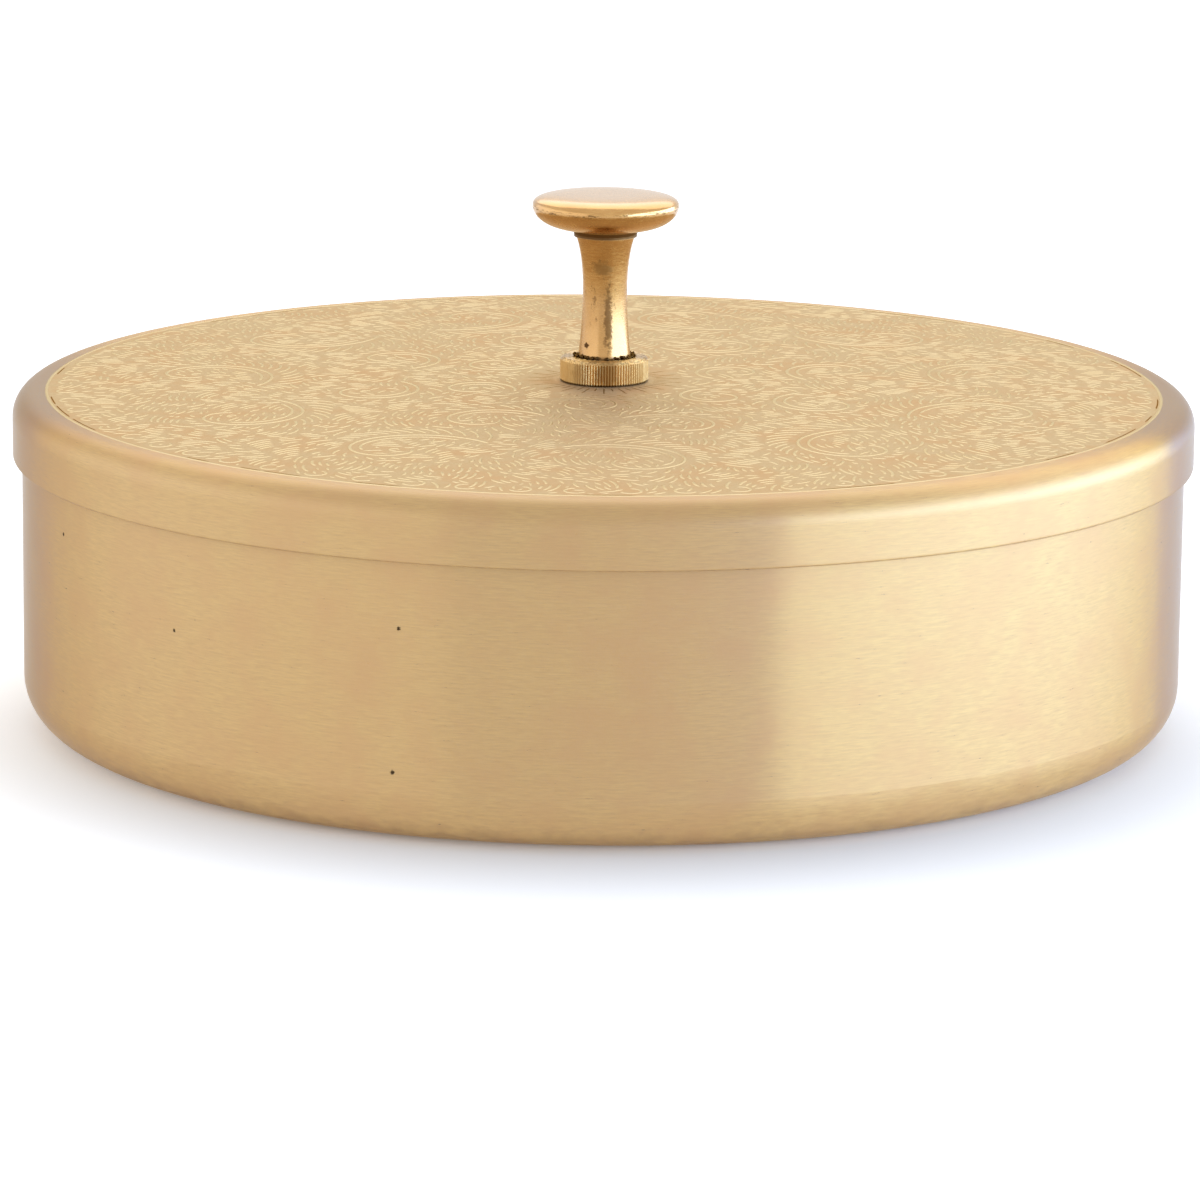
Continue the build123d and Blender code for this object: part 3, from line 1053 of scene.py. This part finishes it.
@dataclass
class LidEtching:
    """The raised lines on the lid's crown, swept along their paths over the crown's curve."""

    crown_top: float = 67.8
    crown_seat: float = 9.6
    crown_radius: float = 3163.4
    sunk: float = 0.02
    border_radius: float = 109.6
    border_half_width: float = 0.32
    border_steps: int = 256
    height_share: float = 0.3
    dark_groups: tuple[str, ...] = ("rays", "grooves")
    pattern: ScrollPattern = field(default_factory=ScrollPattern)

    def tree(self) -> NodeTree:
        """Makes the Geometry Nodes tree that turns paths into low ridges on the crown.

        Returns:
            The tree. Its paths lie flat at the origin's height.
        """
        tree, given = start_growth("ridge_on_crown", {
            "Top": "Float", "Seat": "Float", "Crown Radius": "Float", "Height Share": "Float",
            "Finish": "Material",
        })
        add = partial(add_node, tree)
        width = add("GeometryNodeInputNamedAttribute", {"Name": "half_width"}, data_type="FLOAT")
        paths = add("GeometryNodeMeshToCurve", {"Mesh": given["Geometry"]})
        upright = add("GeometryNodeSetCurveNormal", {"Curve": paths}, mode="Z_UP")
        # A swept profile's own y points down here, so the lower half of a circle is the ridge's top.
        bow = add("GeometryNodeCurveArc", {
            "Resolution": 4, "Radius": 1.0, "Start Angle": math.pi, "Sweep Angle": math.pi,
        })
        share = add("ShaderNodeCombineXYZ", {"X": 1.0, "Y": given["Height Share"], "Z": 1.0})
        low = add("GeometryNodeTransform", {"Geometry": bow, "Scale": share})
        ridge = add("GeometryNodeCurveToMesh", {"Curve": upright, "Profile Curve": low, "Scale": width})
        # The crown falls away from its flat seat on a large arc.
        split = add("ShaderNodeSeparateXYZ", {"Vector": add("GeometryNodeInputPosition")}).outputs
        flat = add("ShaderNodeCombineXYZ", {"X": split["X"], "Y": split["Y"]})
        radius = add("ShaderNodeVectorMath", {0: flat}, operation="LENGTH")
        beyond = add("ShaderNodeMath", {0: radius, 1: given["Seat"]}, operation="SUBTRACT")
        run = add("ShaderNodeMath", {0: beyond, 1: 0.0}, operation="MAXIMUM")
        square = add("ShaderNodeMath", {0: run, 1: 2.0}, operation="POWER")
        twice = add("ShaderNodeMath", {0: given["Crown Radius"], 1: 2.0}, operation="MULTIPLY")
        fall = add("ShaderNodeMath", {0: square, 1: twice}, operation="DIVIDE")
        height = add("ShaderNodeMath", {0: given["Top"], 1: fall}, operation="SUBTRACT")
        lift = add("ShaderNodeCombineXYZ", {"Z": height})
        laid = add("GeometryNodeSetPosition", {"Geometry": ridge, "Offset": lift})
        end_growth(tree, laid, given["Finish"])
        return tree

    def ridges(self, tree: NodeTree, name: str, strokes: list[Stroke], closed: bool, finish: Material) -> None:
        """Makes one piece from a group of lines.

        Args:
            tree: the tree that makes ridges.
            name: the piece's name.
            strokes: the lines.
            closed: whether each line joins its own start and is as wide there.
            finish: the lines' material.
        """
        places, runs, widths = [], [], []
        for stroke in strokes:
            first, count = len(places), len(stroke.points)
            places.extend((point.real * MM, point.imag * MM, 0.0) for point in stroke.points)
            widths.extend(width * MM for width in ([stroke.half_width] * count if closed else stroke.widths()))
            runs.extend((first + place, first + place + 1) for place in range(count - 1))
            if closed:
                runs.append((first + count - 1, first))
        mesh = bpy.data.meshes.new(name)
        mesh.from_pydata(places, runs, [])
        mesh.attributes.new("half_width", "FLOAT", "POINT").data.foreach_set("value", widths)
        piece = grow(name, mesh, tree, {
            "Top": (self.crown_top - self.sunk) * MM, "Seat": self.crown_seat * MM,
            "Crown Radius": self.crown_radius * MM, "Height Share": self.height_share, "Finish": finish,
        })
        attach(piece, "lid")

    def build(self, line: Material, groove: Material) -> None:
        """Makes the etched lines, one piece for each group, and the border line.

        Args:
            line: the finish of the lines.
            groove: the finish of the rays and of the tarnished grooves.
        """
        tree = self.tree()
        for group, strokes in self.pattern.build().items():
            log.info("%s: %d lines", group, len(strokes))
            self.ridges(tree, "lid_" + group, strokes, False, groove if group in self.dark_groups else line)
        turns = [FULL_TURN * step / self.border_steps for step in range(self.border_steps)]
        ring = [self.border_radius * unit(turn) for turn in turns]
        self.ridges(tree, "lid_border_ring", [Stroke(ring, self.border_half_width)], True, line)


@dataclass
class PolishResidue:
    """Dried polish in the corner where the knob's foot stands on the collar, as small dark lumps."""

    ring_radius: float = 5.5
    ring_height: float = 72.75
    lump_radius: float = 0.4
    smallest_share: float = 0.25
    spread: tuple[float, float, float] = (0.55, 0.55, 0.35)
    count: int = 150
    seed: int = 5

    def tree(self) -> NodeTree:
        """Makes the Geometry Nodes tree that sets lumps near the points of a ring.

        Returns:
            The tree.
        """
        tree, given = start_growth("lumps_on_ring", {
            "Lump Radius": "Float", "Spread": "Vector", "Seed": "Int", "Finish": "Material",
        })
        add = partial(add_node, tree)
        back = add("ShaderNodeVectorMath", {0: given["Spread"], 1: (-1.0, -1.0, -1.0)}, operation="MULTIPLY")
        aside = add("FunctionNodeRandomValue", {
            "Min": back, "Max": given["Spread"], "Seed": given["Seed"],
        }, data_type="FLOAT_VECTOR")
        moved = add("GeometryNodeSetPosition", {"Geometry": given["Geometry"], "Offset": aside})
        size = add("FunctionNodeRandomValue", {
            2: self.smallest_share, 3: 1.0, "Seed": given["Seed"],
        }, data_type="FLOAT")
        lump = add("GeometryNodeMeshIcoSphere", {"Radius": given["Lump Radius"], "Subdivisions": 2})
        lumps = add("GeometryNodeInstanceOnPoints", {"Points": moved, "Instance": lump, "Scale": size})
        end_growth(tree, lumps, given["Finish"])
        return tree

    def build(self, finish: Material) -> None:
        """Makes the lumps.

        Args:
            finish: the residue's material.
        """
        mesh = bpy.data.meshes.new("knob_residue")
        turns = [FULL_TURN * number / self.count for number in range(self.count)]
        points = [self.ring_radius * MM * unit(turn) for turn in turns]
        mesh.from_pydata([(point.real, point.imag, self.ring_height * MM) for point in points], [], [])
        piece = grow("knob_residue", mesh, self.tree(), {
            "Lump Radius": self.lump_radius * MM, "Spread": [side * MM for side in self.spread],
            "Seed": self.seed, "Finish": finish,
        })
        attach(piece, "lid")


# Drawn brass sheet, brushed round on the lathe and lacquered: short level strokes, soft bands of
# light that run straight up the wall, and a few dark pits.
WALL = Brass(
    "brushed_lacquered_brass", pale="#cba45e", deep="#b48d4f", mottle="#bd8f52", edge_tint="#b09668",
    mark_length=3.5, mottle_size=12.0, mottle_share=0.65, roughness=0.34, roughness_spread=0.07,
    anisotropy=1.0, lacquer=1.0, lacquer_ior=1.85, lacquer_roughness=0.5,
    tarnish_and_shade="#3a2a18", tarnish_and_shade_roughness=0.7,
    spots=(
        Spot((-37.0, -108.4, 41.0), 0.45), Spot((-38.0, -108.0, 14.0), 0.5),
        Spot((-79.5, -82.4, 34.5), 0.4), Spot((-102.6, -50.8, 46.0), 0.45),
        Spot((60.0, 97.5, 30.0), 0.5), Spot((100.0, 55.8, 22.0), 0.4), Spot((-50.0, 103.0, 41.0), 0.45),
    ),
)
# The same sheet etched with acid between the lines: matt, paler and slightly uneven.
ETCHED = Brass(
    "etched_brass_ground", pale="#cfba99", deep="#c0a985", mottle="#c9a57f", mottle_size=9.0, mottle_share=0.6,
    grain=Grain.EVEN, edge_tint="#b4a48a", mark_width=0.5, mark_depth=0.02, roughness=0.6,
)
# The sheet's own face, left standing between the etched grounds: paler and shinier.
LINE = Brass(
    "etched_brass_line", pale="#dac9a7", deep="#cebb95", mottle="#d1b88d", grain=Grain.EVEN,
    edge_tint="#c6bda8", mark_depth=0.002, roughness=0.4,
)
# A cut line or groove with old polish in it, at the rays and the border: dull and dark gold.
GROOVE = Brass(
    "tarnished_brass_groove", pale="#9c7845", deep="#866335", mottle="#7a5a2c", grain=Grain.EVEN,
    edge_tint="#a08a60", mark_width=0.6, mark_depth=0.002, roughness=0.5,
)
# Solid brass, turned and buffed: sharp streaks of light, warm reflections, brown where cloth never reaches at
# the foot, painted shade under the head, and painted dark reflections in streaks down the stem's front.
POLISHED = Brass(
    "polished_turned_brass", pale="#d2a35f", deep="#c49351", mottle="#bb8945", edge_tint="#e8dcc8",
    mark_length=2.0, mark_width=0.25, mark_depth=0.003, mottle_size=5.0, mottle_share=0.5,
    roughness=0.25, roughness_spread=0.07, lacquer=1.0, lacquer_roughness=0.14, tarnish_and_shade="#46290e",
    bands=(
        # The first band is the brown at the foot, where cloth never reaches; the second, at the neck under the
        # head, is painted shade.
        Band(71.8, 73.0, 0.5, 1.2, 0.8, 0.4), Band(96.5, 97.75, 0.2, 2.5, 1.2, 0.25, 0.85),
        Band(102.0, 102.9, 0.3, 1.8, 0.35, 0.57, 0.65), Band(79.0, 89.0, 1.0, 0.8, 1.6, 0.64, 0.5),
    ),
    spots=(
        Spot((-3.6, -3.4, 75.2), 0.8, 0.9, (1.0, 1.0, 0.9)),
        Spot((-0.4, -4.6, 90.8), 2.6, 0.45, (1.0, 1.0, 0.8)),
        # These two streaks, stretched up the front of the stem, are painted dark reflections.
        Spot((0.7, -4.7, 81.0), 1.1, 0.6, (1.0, 1.0, 7.0)),
        Spot((-2.2, -4.2, 84.0), 0.6, 0.5, (1.0, 1.0, 3.5)),
        Spot((2.0, 4.2, 84.0), 1.4, 0.5), Spot((4.6, 0.6, 92.0), 1.6, 0.5),
    ),
)
# Turned brass with a straight knurl rolled into it: dark in its grooves, with painted shade along its foot
# where it stands on the lid.
KNURLED = Brass(
    "knurled_brass", pale="#ecc886", deep="#dfb36e", mottle="#cd9a50", grain=Grain.EVEN, edge_tint="#d8c6a2",
    mark_width=1.2, mark_depth=0.001, mottle_size=6.0, mottle_share=0.5, roughness=0.36, anisotropy=1.0,
    lacquer=1.0, lacquer_roughness=0.3, tarnish_and_shade="#4f3218",
    # The first band is painted shade at the foot, where the collar meets the lid.
    bands=(Band(67.0, 68.2, 0.15, 2.0, 0.5, 0.2), Band(72.2, 72.9, 0.15, 1.2, 0.5, 0.5, 0.5)),
    spots=(
        Spot((0.6, -8.7, 70.2), 2.6, 0.3, (1.0, 1.0, 1.5)),
        Spot((-4.5, -7.4, 70.0), 2.8, 0.22, (1.0, 1.0, 1.5)), Spot((3.0, 8.0, 70.0), 2.0, 0.4),
    ),
)
# Dried polish and dust: dull, nearly black, with a little brass in it.
RESIDUE = Brass(
    "dried_polish", pale="#5c4326", deep="#2e2013", mottle="#8a6a3a", grain=Grain.EVEN, edge_tint="#d8c6a2",
    mark_width=0.4, mark_depth=0.02, mottle_size=0.6, mottle_share=0.7, roughness=0.32,
)
# Cut and tumbled brass: an even soft gloss.
FASTENER = Brass(
    "tumbled_brass", pale="#cfa765", deep="#bd9350", mottle="#b08847", grain=Grain.EVEN, mark_width=0.4,
    mark_depth=0.003, mottle_size=4.0, roughness=0.3, lacquer=0.6, lacquer_roughness=0.25,
)
# Brass sheet, pressed and buffed along its length: long fine strokes.
BUFFED = Brass(
    "buffed_brass", pale="#dab67c", deep="#c9a263", mottle="#bd9656", grain=Grain.ALONG, mark_length=5.0,
    mark_width=0.22, mark_depth=0.003, mottle_size=8.0, roughness=0.26, lacquer=1.0, lacquer_roughness=0.2,
)
# Brass sheet, spun on the lathe: fine rings and soft bands of light, as on the box.
SPUN = Brass(
    "spun_brass", pale="#dcb77c", deep="#cba467", mottle="#cb9e60", mark_length=6.0, mark_width=0.35,
    mark_depth=0.0015, mottle_size=11.0, mottle_share=0.5, roughness=0.3, anisotropy=0.9,
    lacquer=1.0, lacquer_ior=1.6, lacquer_roughness=0.35,
)


def dress(node: str, material: Material) -> None:
    """Gives a CAD node its finish.

    Args:
        node: the node's name.
        material: its finish.
    """
    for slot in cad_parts[node].material_slots:
        slot.material = material
    log.info("%s: %s", node, material.name)


@dataclass
class Knob:
    """The turned knob with its collar, screw and washer."""

    fasteners: tuple[str, ...] = ("knob_screw", "knob_washer")
    residue: PolishResidue = field(default_factory=PolishResidue)

    def build(self) -> None:
        """Dresses the turned pieces and adds the residue."""
        dress("knob", POLISHED.material())
        dress("knob_collar", KNURLED.material())
        tumbled = FASTENER.material()
        for node in self.fasteners:
            dress(node, tumbled)
        self.residue.build(RESIDUE.material())


@dataclass
class SpiceSet:
    """The seven loose cups and the spoon."""

    ring_count: int = 6

    def build(self) -> None:
        """Dresses the cups, each with rings about its own axis, and the spoon."""
        for node in ("cup_centre", *(f"cup_{number}" for number in range(1, self.ring_count + 1))):
            low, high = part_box(node)
            middle = ((low[0] + high[0]) / 2 / MM, (low[1] + high[1]) / 2 / MM)
            dress(node, replace(SPUN, name=f"{SPUN.name}_{node}", centre=middle).material())
        dress("spoon", BUFFED.material())


def main() -> None:
    """Builds the studio and the object, piece by piece."""
    logging.basicConfig(level=logging.INFO, format="%(name)s: %(message)s")
    Studio().build()
    brushed = WALL.material()
    dress("box", brushed)
    Lid().build(brushed, ETCHED.material())
    LidEtching().build(LINE.material(), GROOVE.material())
    Knob().build()
    SpiceSet().build()


if __name__ == "__main__":
    main()
